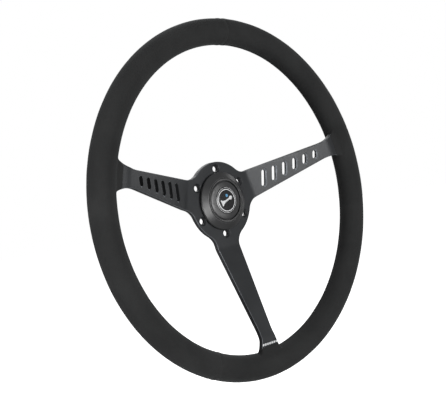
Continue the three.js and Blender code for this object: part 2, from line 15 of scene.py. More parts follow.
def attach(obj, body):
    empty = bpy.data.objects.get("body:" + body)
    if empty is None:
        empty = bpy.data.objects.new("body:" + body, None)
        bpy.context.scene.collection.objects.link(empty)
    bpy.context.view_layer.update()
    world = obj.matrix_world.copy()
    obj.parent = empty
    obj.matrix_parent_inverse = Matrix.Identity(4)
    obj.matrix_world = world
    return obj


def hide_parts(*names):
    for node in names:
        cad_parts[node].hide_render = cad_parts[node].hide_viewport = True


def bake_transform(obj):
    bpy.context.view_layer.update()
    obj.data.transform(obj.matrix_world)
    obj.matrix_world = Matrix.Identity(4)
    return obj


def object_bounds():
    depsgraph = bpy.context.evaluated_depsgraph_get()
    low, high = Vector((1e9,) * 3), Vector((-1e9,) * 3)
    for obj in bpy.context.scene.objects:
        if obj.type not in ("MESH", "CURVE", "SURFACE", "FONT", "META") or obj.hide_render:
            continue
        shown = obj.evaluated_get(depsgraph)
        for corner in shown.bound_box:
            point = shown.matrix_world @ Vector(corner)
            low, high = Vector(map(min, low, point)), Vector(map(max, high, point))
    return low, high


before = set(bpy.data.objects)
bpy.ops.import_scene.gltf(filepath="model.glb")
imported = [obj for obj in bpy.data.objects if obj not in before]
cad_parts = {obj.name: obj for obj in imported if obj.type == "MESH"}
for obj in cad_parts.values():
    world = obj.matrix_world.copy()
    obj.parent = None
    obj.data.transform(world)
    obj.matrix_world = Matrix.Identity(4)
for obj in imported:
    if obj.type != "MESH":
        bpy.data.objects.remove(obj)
cad_low, cad_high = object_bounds()

TO_ROW = Matrix.Rotation(pi / 2, 4, "X") @ Matrix.Scale(0.001, 4)

# ---------------- sizes, in millimetres

WHEEL_RADIUS = 190
GRIP_RADIUS = 13.8
RING_RADIUS = WHEEL_RADIUS - GRIP_RADIUS
RIM_PLANE = 36.3
COVER_SEAMS = (87, 244)  # cross seams, degrees round the rim from 3 o'clock
LONG_SEAM = 246  # the long seam's place on the grip's section, 0 outwards, 90 towards the driver
SUEDE_THICKNESS = 1.1
COLLAR_START = 156.8  # where the suede that wraps the ends of the tabs begins
COLLAR_END = RING_RADIUS - 5
COLLAR_RISE = 0.8
COLLAR_SIDE_RISE = 0.1
COLLAR_ROUNDING = 1.2
COLLAR_FILLET = 2

PLATE_THICKNESS = 5
HALF_PLATE = PLATE_THICKNESS / 2
HUB_RADIUS = 42.5
HUB_BORE = 25.5
BOLT_CIRCLE = 35
BOLT_ANGLES = range(30, 390, 60)
BOLT_HOLE = 3.2
COUNTERSINK = 5
SPOKES = ((15, 1), (165, -1), (270, 0))  # angle, and which way the slots lean, 0 for no slots
INCLINE = radians(20.8)
HUB_FLAT = 49.3
TAB_START = 149.4
TAB_END = RING_RADIUS + 7
TAB_HALF_WIDTH = 18
BEND_RADIUS = 18
SPOKE_HALF_AT_CENTRE = 19.6
SPOKE_SLOPE = 0.074
HUB_FILLET = 17
FLARE_START = 138
FLARE_RADIUS = 44
SLOT_COUNT = 6
SLOT_FIRST = 17.8
SLOT_PITCH = 13.8
SLOT_LONGEST = 18.4
SLOT_STEP = 1.8
SLOT_HALF_WIDTH = 2.45
SLOT_LEAN = radians(21)
SLOT_CHAMFER = 1.2
EDGE_ROUND = 0.6
OUTLINE_SPACING = 1.4  # between points along the plate's cut edges
SHEET_RINGS = (28.5, 31.5, 34.5, 37.5, 40)  # radii of the rings of points in the hub's faces
SHEET_START = 43.0  # where the rows of points across a spoke begin
SHEET_STEPS = (0.8, 2.4)  # between those rows, where the sheet bends and elsewhere
SHEET_ACROSS = 2.2
SHEET_HALF_COUNT = 12
SHEET_CLEARANCE = 0.8  # from a point in a face to the nearest cut edge
SLOT_WALL_PAINTED_SHADE = (0.6, 0.15)  # painted shade on the first slot's wall, and what each further slot adds
# painted highlight, with some wear, on the front rounding of the plate's outer edge
EDGE_HIGHLIGHT_AND_WEAR = 0.4

TAPER = math.atan(SPOKE_SLOPE)
FLARE_CENTRE = (  # along the spoke and across it
    FLARE_START + FLARE_RADIUS * sin(TAPER),
    SPOKE_HALF_AT_CENTRE - SPOKE_SLOPE * FLARE_START + FLARE_RADIUS * cos(TAPER),
)
BEND_CUT = BEND_RADIUS * math.tan(INCLINE / 2)
BEND_RUN = BEND_RADIUS * sin(INCLINE)
BEND_ARC = BEND_RADIUS * INCLINE
FIRST_BEND = HUB_FLAT - BEND_CUT
INCLINE_START = FIRST_BEND + BEND_RUN
INCLINE_END = TAB_START + BEND_CUT - BEND_RUN
SECOND_BEND = FIRST_BEND + BEND_ARC + (INCLINE_END - INCLINE_START) / cos(INCLINE)  # on the flat sheet
TAB_CENTRE_Z = HALF_PLATE + (TAB_START - HUB_FLAT) * math.tan(INCLINE)
TAB_FRONT = TAB_CENTRE_Z + HALF_PLATE

MARK_PLACE = 154.5  # the printed dashes on the lower spoke, from the wheel's centre
MARK_COUNT = 7
MARK_PITCH = 3.2
MARK_SIZE = (2.3, 2.1)

BEZEL_RADIUS = 31
BEZEL_EDGE = (6.4, 8.3)  # heights of the bezel's outer wall
BEZEL_CREST = 12.8
BEZEL_FOOT_INSET = 1.9
BEZEL_GROOVE = (24.3, 24.0, 23.5, 23.2)  # radii of its outer edge, its floor's two edges and its inner edge
BEZEL_GROOVE_DEPTH = 0.9
LIP_RADIUS = 21.3
LIP_UNDERSIDE = 10.6
CHAMBER_RADIUS = 23.2
CHAMBER_FLOOR = 6.4
CAP_RADIUS = 20.7
CAP_FLANGE = (22.7, 8.8, 10.3)  # the flange's radius and its two heights
CAP_CROWN = 14.2
CAP_DOME_RADIUS = 100
CAP_WALL = 2
CAP_BOSS_RADIUS = 4
CAP_SCREW_HOLE = 1.5
EMBLEM_RADIUS = 14.3
EMBLEM_THICKNESS = 1.7
EMBLEM_RINGS = ((12.0, 11.1), (13.55, 13.2))  # outer and inner radius of each printed ring
SIGN_LEAN = 20  # degrees that the horn sign leans
SIGN_BULB = (6.0, 2.6, 2.0)  # its place along the sign and its two half sizes
DOT_RADIUS = 1.7
DOT_PLACE = (0.6, 5.0)
PRINT_SINK = 0.05  # how far print reaches into its surface
PRINT_RISE = 0.07
DOT_RISE = 0.08
CONTACT_UNDERSIDE = 8
FIXED_CONTACT_TOP = 5.7
SKIRT_RADIUS = 24.2
SKIRT_BORE = 21
SKIRT_END = -6
SEAT_GAP = 0.3  # between pieces that touch on the real wheel
CONTACT_SPACE = 0.9  # a contact's thickness and the gap beside it
BASE_BOTTOM = -8
BASE_FLOOR = -3
BASE_FLANGE = (24, -6.3)  # its radius and the height of its front
BASE_SPIGOT_RADIUS = 20.7
BASE_WALL = (10.5, 17)  # inner and outer radius of the wall under the fixed contact
SCREW_CIRCLE = 22.6
SCREW_ANGLES = (90, 210, 330)
SCREW_HEAD = (1.9, 1.25)  # radius and height
SCREW_SHANK = 1.1
SPRING_RADIUS = 6.2
SPRING_WIRE = 0.5  # the wire's radius
SPRING_TURNS = 5.5
SPRING_STEPS = 160
SPRING_END_SHARE = 0.16  # the share of the wire that lies nearly flat at each end
SIGNAL_RIVET_X = 13.75
GROUND_RIVET_X = -SPRING_RADIUS
RIVET_SHANK = 1.2
RIVET_HEAD = 2.1
BLADE_SIZE = (8.0, 6.3)  # length and width of a terminal's blade
BLADE_THICKNESS = 0.8
CLIP_COUNT = 4
CLIP_LINE = (  # radius and height along a clip's inner face
    (24.55, -5), (24.62, -3.6), (24.78, -2), (24.95, 0), (25.02, 1.8), (24.9, 3.4), (24.6, 4.9),
)
CLIP_THICKNESS = 0.3
CLIP_HALF_WIDTH = 3

# ---------------- camera


def make_camera():
    data = bpy.data.cameras.new("camera")
    data.sensor_width = 36
    data.lens = 75.78
    camera = bpy.data.objects.new("camera", data)
    bpy.context.scene.collection.objects.link(camera)
    right = Vector((0.72776, -0.66540, -0.16613))
    up = Vector((0.13557, -0.09788, 0.98593))
    back = Vector((-0.67229, -0.74005, 0.01897))
    place = Vector((-0.67554, -0.75143, 0.0198))
    turn = Matrix((right, up, back)).transposed().to_4x4()
    camera.matrix_world = Matrix.Translation(place) @ turn
    bpy.context.scene.camera = camera


make_camera()

# ---------------- mesh helpers


def add_piece(name, shape, material, body="root", replaces=(), sharp=35):
    """A mesh of the wheel, from points and faces in the wheel's own frame, riding on a body."""
    points, faces = shape
    mesh = bpy.data.meshes.new(name)
    mesh.from_pydata([TO_ROW @ Vector(point) for point in points], [], faces)
    editor = bmesh.new()
    editor.from_mesh(mesh)
    bmesh.ops.recalc_face_normals(editor, faces=editor.faces)
    editor.to_mesh(mesh)
    editor.free()
    mesh.shade_smooth()
    mesh.set_sharp_from_angle(angle=radians(sharp))
    mesh.materials.append(material)
    piece = bpy.data.objects.new(name, mesh)
    bpy.context.scene.collection.objects.link(piece)
    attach(piece, body)
    if replaces:
        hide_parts(*replaces)
    return piece


def keep_flats_flat(piece):
    weighted = piece.modifiers.new("flats", "WEIGHTED_NORMAL")
    weighted.keep_sharp = True
    weighted.weight = 90


def turn_point(x, y, degrees):
    angle = radians(degrees)
    return (
        x * cos(angle) - y * sin(angle),
        x * sin(angle) + y * cos(angle),
    )


def circle(radius, count, centre=(0, 0)):
    """Points of a circle, anticlockwise."""
    return [
        (centre[0] + radius * cos(a), centre[1] + radius * sin(a))
        for a in (2 * pi * i / count for i in range(count))
    ]


def spread_line(points, spacing):
    """The closed line through the points, with none of its steps longer than the spacing."""
    result = []
    for start, end in zip(points, points[1:] + points[:1]):
        steps = max(1, math.ceil(math.dist(start, end) / spacing))
        for i in range(steps):
            share = i / steps
            result.append(tuple(a + (b - a) * share for a, b in zip(start, end)))
    return result


def outward(loop):
    """The outward directions of an anticlockwise loop."""
    result = []
    for before, after in zip(loop[-1:] + loop[:-1], loop[1:] + loop[:1]):
        result.append(Vector((after[1] - before[1], before[0] - after[0])).normalized())
    return result


def grown(loop, distance, shares):
    """An anticlockwise loop moved outwards by each point's share of the distance."""
    return [
        (x + way.x * distance * share, y + way.y * distance * share)
        for (x, y), way, share in zip(loop, outward(loop), shares)
    ]


def is_inside(loop, point):
    inside = False
    x, y = point
    for (ax, ay), (bx, by) in zip(loop, loop[1:] + loop[:1]):
        if (ay > y) != (by > y) and x < ax + (y - ay) * (bx - ax) / (by - ay):
            inside = not inside
    return inside


def fill_between(loops, inner_points=()):
    """Triangles that fill the first loop, less the holes of the others. The points keep the order
    of the loops and then of the inner points."""
    points = [Vector(p) for loop in loops for p in loop] + [Vector(p) for p in inner_points]
    edges = []
    first = 0
    for loop in loops:
        edges += [(first + i, first + (i + 1) % len(loop)) for i in range(len(loop))]
        first += len(loop)
    places, _, triangles, sources, _, _ = geometry.delaunay_2d_cdt(points, edges, [], 1, 1e-6)
    holes = [(loop, Vector(loop[0]), max(math.dist(loop[0], p) for p in loop)) for loop in loops[1:]]
    faces = []
    for triangle in triangles:
        middle = (places[triangle[0]] + places[triangle[1]] + places[triangle[2]]) / 3
        if not any((middle - at).length < reach and is_inside(loop, middle) for loop, at, reach in holes):
            faces.append(tuple(sources[i][0] for i in triangle))
    return faces


def ring_faces(first, second, count):
    """Quads between two rings of points that start at the given numbers."""
    return [
        (first + i, first + (i + 1) % count, second + (i + 1) % count, second + i)
        for i in range(count)
    ]


def rounded_profile(corners):
    """A profile of (radius, z, rounding) corners as (radius, z) points."""
    steps = 4
    result = []
    count = len(corners)
    for i, (radius, z, rounding) in enumerate(corners):
        here = Vector((radius, z))
        if rounding == 0:
            result.append(here)
            continue
        before = Vector(corners[i - 1][:2]) - here
        after = Vector(corners[(i + 1) % count][:2]) - here
        start = here + before.normalized() * min(rounding, before.length * 0.48)
        end = here + after.normalized() * min(rounding, after.length * 0.48)
        for step in range(steps + 1):
            t = step / steps
            result.append(start.lerp(here, t).lerp(here.lerp(end, t), t))
    return result


def turned(corners, segments):
    """Points and faces of a profile turned about the z axis. It is closed, or both of its ends
    are on the axis."""
    profile = rounded_profile(corners)
    points = []
    rings = []
    for radius, z in profile:
        rings.append(len(points))
        if radius < 1e-6:
            points.append((0, 0, z))
            continue
        points += [(x, y, z) for x, y in circle(radius, segments)]
    closed = profile[0][0] > 1e-6
    faces = []
    pairs = list(zip(range(len(rings)), range(1, len(rings))))
    if closed:
        pairs.append((len(rings) - 1, 0))
    for a, b in pairs:
        if profile[a][0] < 1e-6:
            faces += [(rings[a], rings[b] + i, rings[b] + (i + 1) % segments) for i in range(segments)]
        elif profile[b][0] < 1e-6:
            faces += [(rings[b], rings[a] + (i + 1) % segments, rings[a] + i) for i in range(segments)]
        else:
            faces += ring_faces(rings[a], rings[b], segments)
    return points, faces


def placed(shape, move=(0, 0, 0), degrees=0):
    """Points and faces moved, then turned about the wheel's axis."""
    points, faces = shape
    result = []
    for x, y, z in points:
        tx, ty = turn_point(x + move[0], y + move[1], degrees)
        result.append((tx, ty, z + move[2]))
    return result, faces


def merged(shapes):
    points = []
    faces = []
    for more_points, more_faces in shapes:
        first = len(points)
        points += more_points
        faces += [tuple(first + i for i in face) for face in more_faces]
    return points, faces


def tube_along(line, radius, sides=8):
    """A tube with closed, rounded ends along a line of points."""
    line = [Vector(p) for p in line]
    points = []
    faces = []
    side = None
    last = len(line) - 1
    for i, here in enumerate(line):
        along = (line[min(i + 1, last)] - line[max(i - 1, 0)]).normalized()
        if side is None:
            side = along.orthogonal().normalized()
        side = (side - along * side.dot(along)).normalized()
        up = along.cross(side)
        thin = 0.55 if i in (0, last) else 1
        for k in range(sides):
            angle = 2 * pi * k / sides
            reach = (side * cos(angle) + up * sin(angle)) * radius * thin
            points.append(tuple(here + reach))
    for i in range(last):
        faces += ring_faces(i * sides, (i + 1) * sides, sides)
    faces.append(tuple(reversed(range(sides))))
    faces.append(tuple(range(last * sides, (last + 1) * sides)))
    return points, faces


def flat_body(loops, place, low, high):
    """A thin body between two heights over the area of the first loop, less the others. place
    takes x, y and height to a point."""
    triangles = fill_between(loops)
    outline = [p for loop in loops for p in loop]
    count = len(outline)
    points = [place(x, y, high) for x, y in outline] + [place(x, y, low) for x, y in outline]
    faces = list(triangles)
    faces += [tuple(count + i for i in reversed(face)) for face in triangles]
    first = 0
    for loop in loops:
        faces += ring_faces(first, first + count, len(loop))
        first += len(loop)
    return points, faces


# ---------------- materials


NOISE_RANGE = (0.3, 0.7)  # where most of a noise texture's values lie


class Finish:
    """A Principled material, and the nodes that give its surface detail."""

    def __init__(self, name, color, roughness, metallic=0.0):
        self.material = bpy.data.materials.new(name)
        self.material.use_nodes = True
        self.tree = self.material.node_tree
        self.shader = self.tree.nodes["Principled BSDF"]
        self.color = color
        self.set("Base Color", (*color, 1))
        self.set("Roughness", roughness)
        self.set("Metallic", metallic)
        self.place = self.tree.nodes.new("ShaderNodeTexCoord").outputs["Object"]
        self.height = None

    def set(self, socket, value):
        self.shader.inputs[socket].default_value = value

    def noise(self, per_metre, detail=3.0, roughness=0.55, distortion=0.0):
        node = self.tree.nodes.new("ShaderNodeTexNoise")
        node.inputs["Scale"].default_value = per_metre
        node.inputs["Detail"].default_value = detail
        node.inputs["Roughness"].default_value = roughness
        node.inputs["Distortion"].default_value = distortion
        self.tree.links.new(self.place, node.inputs["Vector"])
        return node.outputs["Fac"]

    def ranged(self, value, low, high):
        node = self.tree.nodes.new("ShaderNodeMapRange")
        node.inputs["From Min"].default_value = NOISE_RANGE[0]
        node.inputs["From Max"].default_value = NOISE_RANGE[1]
        node.inputs["To Min"].default_value = low
        node.inputs["To Max"].default_value = high
        self.tree.links.new(value, node.inputs["Value"])
        return node.outputs["Result"]

    def math(self, operation, first, second):
        node = self.tree.nodes.new("ShaderNodeMath")
        node.operation = operation
        for socket, value in zip(node.inputs, (first, second)):
            if isinstance(value, (int, float)):
                socket.default_value = value
            else:
                self.tree.links.new(value, socket)
        return node.outputs["Value"]

    def attribute(self, name):
        node = self.tree.nodes.new("ShaderNodeAttribute")
        node.attribute_name = name
        return node.outputs["Fac"]

    def tint(self, factor, dark, light):
        """The base colour runs from dark to light times the finish's own colour."""
        node = self.tree.nodes.new("ShaderNodeMix")
        node.data_type = "RGBA"
        node.inputs["A"].default_value = (*[c * d for c, d in zip(self.color, dark)], 1)
        node.inputs["B"].default_value = (*[c * d for c, d in zip(self.color, light)], 1)
        self.tree.links.new(factor, node.inputs["Factor"])
        self.tree.links.new(node.outputs["Result"], self.shader.inputs["Base Color"])

    def vary(self, socket, value, low, high):
        self.tree.links.new(self.ranged(value, low, high), self.shader.inputs[socket])

    def bump(self, height, strength, millimetres):
        node = self.tree.nodes.new("ShaderNodeBump")
        node.inputs["Strength"].default_value = strength
        node.inputs["Distance"].default_value = millimetres / 1000
        self.tree.links.new(height, node.inputs["Height"])
        if self.height is not None:
            self.tree.links.new(self.height, node.inputs["Normal"])
        self.height = node.outputs["Normal"]
        self.tree.links.new(self.height, self.shader.inputs["Normal"])


def suede_finish():
    finish = Finish("suede", (0.028, 0.0284, 0.0284), 0.97)
    finish.set("Specular IOR Level", 0.1)
    finish.set("Sheen Weight", 0.12)
    finish.set("Sheen Roughness", 0.45)
    finish.set("Sheen Tint", (0.75, 0.78, 0.8, 1))
    patches = finish.noise(22, detail=4, distortion=0.6)
    fibres = finish.noise(1900, detail=4, roughness=0.7)
    strokes = finish.noise(160, detail=3, distortion=1.2)
    mixed = finish.math("ADD", finish.math("MULTIPLY", patches, 0.55), finish.math("MULTIPLY", fibres, 0.45))
    finish.tint(finish.ranged(mixed, 0, 1), (0.72, 0.72, 0.73), (1.36, 1.36, 1.36))
    finish.vary("Roughness", patches, 0.9, 1.0)
    finish.bump(strokes, 0.35, 0.5)
    finish.bump(fibres, 0.6, 0.16)
    return finish.material


def anodised_finish():
    finish = Finish("anodised_plate", (0.032, 0.034, 0.0368), 0.42, 0.25)
    finish.set("Specular IOR Level", 0.5)
    cloud = finish.noise(35, detail=3)
    grain = finish.noise(2600, detail=2, roughness=0.6)
    # The edge attribute paints light into the base colour. Above 0 it gives a painted highlight, with some
    # wear, on the chamfers and the outer edge. Below 0 it gives painted shade on the slots' walls.
    edge = finish.attribute("edge")
    highlight_and_wear = finish.ranged(finish.noise(140), 0.5, 0.8)
    bright = finish.math("MULTIPLY", finish.math("MAXIMUM", edge, 0), highlight_and_wear)
    dark = finish.math("MULTIPLY", finish.math("MINIMUM", edge, 0), 0.055)
    shade = finish.math("ADD", finish.ranged(cloud, 0.053, 0.063), bright)
    finish.tint(finish.math("ADD", shade, dark), (0.2, 0.2, 0.2), (14, 14, 14))
    finish.vary("Roughness", cloud, 0.38, 0.47)
    finish.bump(grain, 0.25, 0.05)
    return finish.material


def satin_finish(name, color, roughness, turned_grain=0.0):
    finish = Finish(name, color, roughness)
    if turned_grain:
        finish.set("Anisotropic", turned_grain)
        around = finish.tree.nodes.new("ShaderNodeTangent")
        around.direction_type = "RADIAL"
        around.axis = "Y"
        finish.tree.links.new(around.outputs["Tangent"], finish.shader.inputs["Tangent"])
    finish.set("Specular IOR Level", 0.8)
    finish.set("Coat Weight", 0.2)
    finish.set("Coat Roughness", 0.35)
    cloud = finish.noise(90, detail=3)
    grain = finish.noise(3200, detail=2)
    finish.tint(cloud, (0.9, 0.9, 0.9), (1.12, 1.12, 1.12))
    finish.vary("Roughness", cloud, roughness - 0.05, roughness + 0.06)
    finish.bump(grain, 0.2, 0.03)
    return finish.material


def gloss_finish():
    finish = Finish("emblem_gloss", (0.012, 0.012, 0.013), 0.28)
    finish.set("Coat Weight", 0.6)
    finish.set("Coat Roughness", 0.16)
    cloud = finish.noise(220, detail=2)
    finish.tint(cloud, (0.9, 0.9, 0.9), (1.15, 1.15, 1.15))
    finish.vary("Roughness", cloud, 0.24, 0.34)
    return finish.material


def ink_finish(name, color):
    finish = Finish(name, color, 0.45)
    speckle = finish.noise(1500, detail=2)
    finish.tint(speckle, (0.86, 0.86, 0.86), (1.06, 1.06, 1.06))
    finish.vary("Roughness", speckle, 0.38, 0.55)
    return finish.material


def metal_finish(name, color, roughness, streak=1.0):
    finish = Finish(name, color, roughness, 1.0)
    cloud = finish.noise(260, detail=3)
    grain = finish.noise(2400, detail=3, roughness=0.7)
    finish.tint(cloud, (0.8, 0.8, 0.79), (1.12, 1.12, 1.12))
    finish.vary("Roughness", cloud, roughness - 0.08, roughness + 0.1)
    finish.bump(grain, 0.25 * streak, 0.03)
    return finish.material


def foam_finish():
    finish = Finish("grip_foam", (0.022, 0.022, 0.022), 0.85)
    cells = finish.noise(700, detail=4)
    finish.tint(cells, (0.8, 0.8, 0.8), (1.3, 1.3, 1.3))
    finish.vary("Roughness", cells, 0.75, 0.95)
    finish.bump(cells, 0.4, 0.2)
    return finish.material


def thread_finish():
    finish = Finish("seam_thread", (0.03, 0.03, 0.031), 0.6)
    finish.set("Sheen Weight", 0.2)
    ply = finish.tree.nodes.new("ShaderNodeTexWave")
    ply.inputs["Scale"].default_value = 700
    ply.inputs["Distortion"].default_value = 1.5
    finish.tree.links.new(finish.place, ply.inputs["Vector"])
    finish.tint(ply.outputs["Fac"], (0.7, 0.7, 0.7), (1.3, 1.3, 1.3))
    finish.vary("Roughness", ply.outputs["Fac"], 0.5, 0.7)
    finish.bump(ply.outputs["Fac"], 0.5, 0.12)
    return finish.material


SUEDE = suede_finish()
ANODISED = anodised_finish()
SATIN = satin_finish("satin_black", (0.034, 0.0345, 0.0355), 0.36, 0.7)
MOULDED = satin_finish("moulded_black", (0.02, 0.02, 0.02), 0.55)
GLOSS = gloss_finish()
WHITE_INK = ink_finish("white_ink", (0.82, 0.83, 0.84))
BLUE_INK = ink_finish("blue_ink", (0.12, 0.36, 0.62))
ZINC = metal_finish("zinc_steel", (0.55, 0.56, 0.58), 0.34)
BRASS = metal_finish("brass", (0.72, 0.53, 0.24), 0.34)
ALUMINIUM = metal_finish("bare_aluminium", (0.68, 0.69, 0.7), 0.42, 2.0)
FOAM = foam_finish()
THREAD = thread_finish()

# ---------------- spoke plate


def bent(length, across, height):
    """A point of a spoke: its distance along the flat sheet, across it, and above its middle."""
    if length <= FIRST_BEND:
        return length, across, HALF_PLATE + height
    if length <= FIRST_BEND + BEND_ARC:
        tilt = (length - FIRST_BEND) / BEND_RADIUS
        s = FIRST_BEND + BEND_RADIUS * sin(tilt)
        z = HALF_PLATE + BEND_RADIUS * (1 - cos(tilt))
    elif length <= SECOND_BEND:
        tilt = INCLINE
        run = length - FIRST_BEND - BEND_ARC
        s = INCLINE_START + run * cos(INCLINE)
        z = HALF_PLATE + BEND_RADIUS * (1 - cos(INCLINE)) + run * sin(INCLINE)
    else:
        tilt = max(0, INCLINE - (length - SECOND_BEND) / BEND_RADIUS)
        past = max(0, length - SECOND_BEND - BEND_ARC)
        s = INCLINE_END + BEND_RUN - BEND_RADIUS * sin(tilt) + past
        z = TAB_CENTRE_Z - BEND_RADIUS * (1 - cos(tilt))
    return s - height * sin(tilt), across, z + height * cos(tilt)


def sheet_length(s):
    """The distance along the flat sheet of a place that is s from the wheel's axis."""
    if s <= FIRST_BEND:
        return s
    if s <= INCLINE_START:
        return FIRST_BEND + BEND_RADIUS * math.asin((s - FIRST_BEND) / BEND_RADIUS)
    if s <= INCLINE_END:
        return FIRST_BEND + BEND_ARC + (s - INCLINE_START) / cos(INCLINE)
    over = min(s, INCLINE_END + BEND_RUN)
    tilt = math.asin((INCLINE_END + BEND_RUN - over) / BEND_RADIUS)
    return SECOND_BEND + BEND_RADIUS * (INCLINE - tilt) + (s - over)


def nearest_spoke(x, y):
    angle = math.degrees(math.atan2(y, x))
    return min(SPOKES, key=lambda spoke: abs((angle - spoke[0] + 180) % 360 - 180))[0]


def plate_point(x, y, height):
    """A place on the flat sheet, bent up with its spoke."""
    spoke = nearest_spoke(x, y)
    length, across = turn_point(x, y, -spoke)
    s, w, z = bent(length, across, height)
    return (*turn_point(s, w, spoke), z)


def arc_points(centre, radius, start, end, count):
    return [
        (centre[0] + radius * cos(a), centre[1] + radius * sin(a))
        for a in (start + (end - start) * i / count for i in range(count + 1))
    ]


def spoke_side():
    """One side of a spoke on the flat sheet: the hub's fillet, the taper, the flare and the tab."""
    lift = SPOKE_HALF_AT_CENTRE + HUB_FILLET / cos(TAPER)
    square = 1 + SPOKE_SLOPE**2
    reach = HUB_RADIUS + HUB_FILLET
    root = math.sqrt((SPOKE_SLOPE * lift) ** 2 - square * (lift**2 - reach**2))
    fillet_x = (SPOKE_SLOPE * lift + root) / square
    fillet = (fillet_x, lift - SPOKE_SLOPE * fillet_x)
    flare_end = math.asin((TAB_HALF_WIDTH - FLARE_CENTRE[1]) / FLARE_RADIUS)
    tangent = -pi / 2 - TAPER
    to_hub = math.atan2(fillet[1], fillet[0]) - pi
    side = arc_points(fillet, HUB_FILLET, to_hub, tangent, 16)
    side += arc_points(FLARE_CENTRE, FLARE_RADIUS, tangent, flare_end, 16)
    side.append((TAB_END, TAB_HALF_WIDTH))
    return [(sheet_length(s), w) for s, w in side]


def hub_arc(start, end):
    count = max(4, round((end - start) * radians(HUB_RADIUS) / OUTLINE_SPACING))
    degrees = [start + (end - start) * i / count for i in range(1, count)]
    return [turn_point(HUB_RADIUS, 0, angle) for angle in degrees]


def plate_outline():
    side = spoke_side()
    half_root = math.degrees(math.atan2(side[0][1], side[0][0]))
    outline = []
    angles = [angle for angle, _ in SPOKES]
    for angle, following in zip(angles, angles[1:] + [angles[0] + 360]):
        outline += [turn_point(s, -w, angle) for s, w in side]
        outline += [turn_point(s, w, angle) for s, w in reversed(side)]
        outline += hub_arc(angle + half_root, following - half_root)
    return spread_line(outline, OUTLINE_SPACING)


def slot_loops():
    """The slots' outlines on the flat sheet, each with the share of the chamfer at its points. The
    chamfer is on the side of the slot that is farther from the hub."""
    first = FIRST_BEND + BEND_ARC + (HUB_FLAT - INCLINE_START) / cos(INCLINE)
    loops = []
    for angle, lean in SPOKES:
        if lean == 0:
            continue
        for i in range(SLOT_COUNT):
            straight = (SLOT_LONGEST - SLOT_STEP * i) / 2 - SLOT_HALF_WIDTH
            ends = arc_points((0, straight), SLOT_HALF_WIDTH, 0, pi, 10)
            ends += arc_points((0, -straight), SLOT_HALF_WIDTH, pi, 2 * pi, 10)
            leaned = [turn_point(x, y, -math.degrees(lean * SLOT_LEAN)) for x, y in ends]
            along = first + SLOT_FIRST + SLOT_PITCH * i
            turned_loop = [turn_point(along + x, y, angle) for x, y in leaned]
            loop = spread_line(turned_loop, OUTLINE_SPACING)
            away = Vector(turn_point(1, 0, angle - math.degrees(lean * SLOT_LEAN)))
            shares = [min(1, max(0.15, 0.6 + 1.2 * way.dot(away))) for way in outward(loop)]
            loops.append((loop, shares))
    return loops


def edge_levels(chamfer):
    """How far a cut edge stands back from its outline at each height: a chamfer or a rounding
    towards the driver, and a small rounding at the back."""
    low = -HALF_PLATE
    if chamfer:
        front = [(HALF_PLATE, chamfer + 0.12), (HALF_PLATE - 0.06, chamfer)]
        front += [(HALF_PLATE - chamfer, 0.04), (HALF_PLATE - chamfer - 0.08, 0)]
    else:
        front = [
            (HALF_PLATE - EDGE_ROUND * (1 - cos(a)), EDGE_ROUND * (1 - sin(a)))
            for a in (radians(30 * i) for i in range(4))
        ]
    return front + [(low + 0.3, 0), (low + 0.09, 0.09), (low, 0.3)]


def bolt_levels():
    sink = COUNTERSINK - BOLT_HOLE
    return [
        (HALF_PLATE, sink + 0.15),
        (HALF_PLATE - 0.07, sink),
        (HALF_PLATE - sink, 0.04),
        (HALF_PLATE - sink - 0.1, 0),
        (-HALF_PLATE + 0.25, 0),
        (-HALF_PLATE, 0.25),
    ]


def sheet_points(loops):
    """Points inside the plate's faces, closer together where it bends."""
    tree = KDTree(sum(len(loop) for loop in loops))
    for i, point in enumerate(p for loop in loops for p in loop):
        tree.insert((*point, 0), i)
    tree.balance()
    wanted = []
    for radius in SHEET_RINGS:
        wanted += circle(radius, round(radius * 2))
    rows = []
    length = SHEET_START
    bend_step, plain_step = SHEET_STEPS
    bends = [(FIRST_BEND, FIRST_BEND + BEND_ARC)]
    second = sheet_length(INCLINE_END)
    bends.append((second, second + BEND_ARC))
    while length < sheet_length(TAB_END):
        bending = any(low - 1 < length < high + 1 for low, high in bends)
        rows.append(length)
        length += bend_step if bending else plain_step
    places_across = range(-SHEET_HALF_COUNT, SHEET_HALF_COUNT + 1)
    for angle, _ in SPOKES:
        for length in rows:
            wanted += [turn_point(length, SHEET_ACROSS * k, angle) for k in places_across]
    outline, holes = loops[0], loops[1:]
    return [
        p
        for p in wanted
        if tree.find((*p, 0))[2] > SHEET_CLEARANCE
        and is_inside(outline, p)
        and not any(is_inside(hole, p) for hole in holes)
    ]


def slot_painted_light_and_wear(level, shares, number):
    """Painted light round a slot: 1 on the chamfer, a painted highlight with some wear, and down to
    -1 on the wall, painted shade that is darker in the slots farther from the hub."""
    first_wall, each_further = SLOT_WALL_PAINTED_SHADE
    painted_wall_shade = min(1, first_wall + each_further * number)
    if level == 0:
        return [0.0] * len(shares)
    if level in (1, 2):
        return [share if share > 0.5 else -painted_wall_shade for share in shares]
    return [-painted_wall_shade] * len(shares)


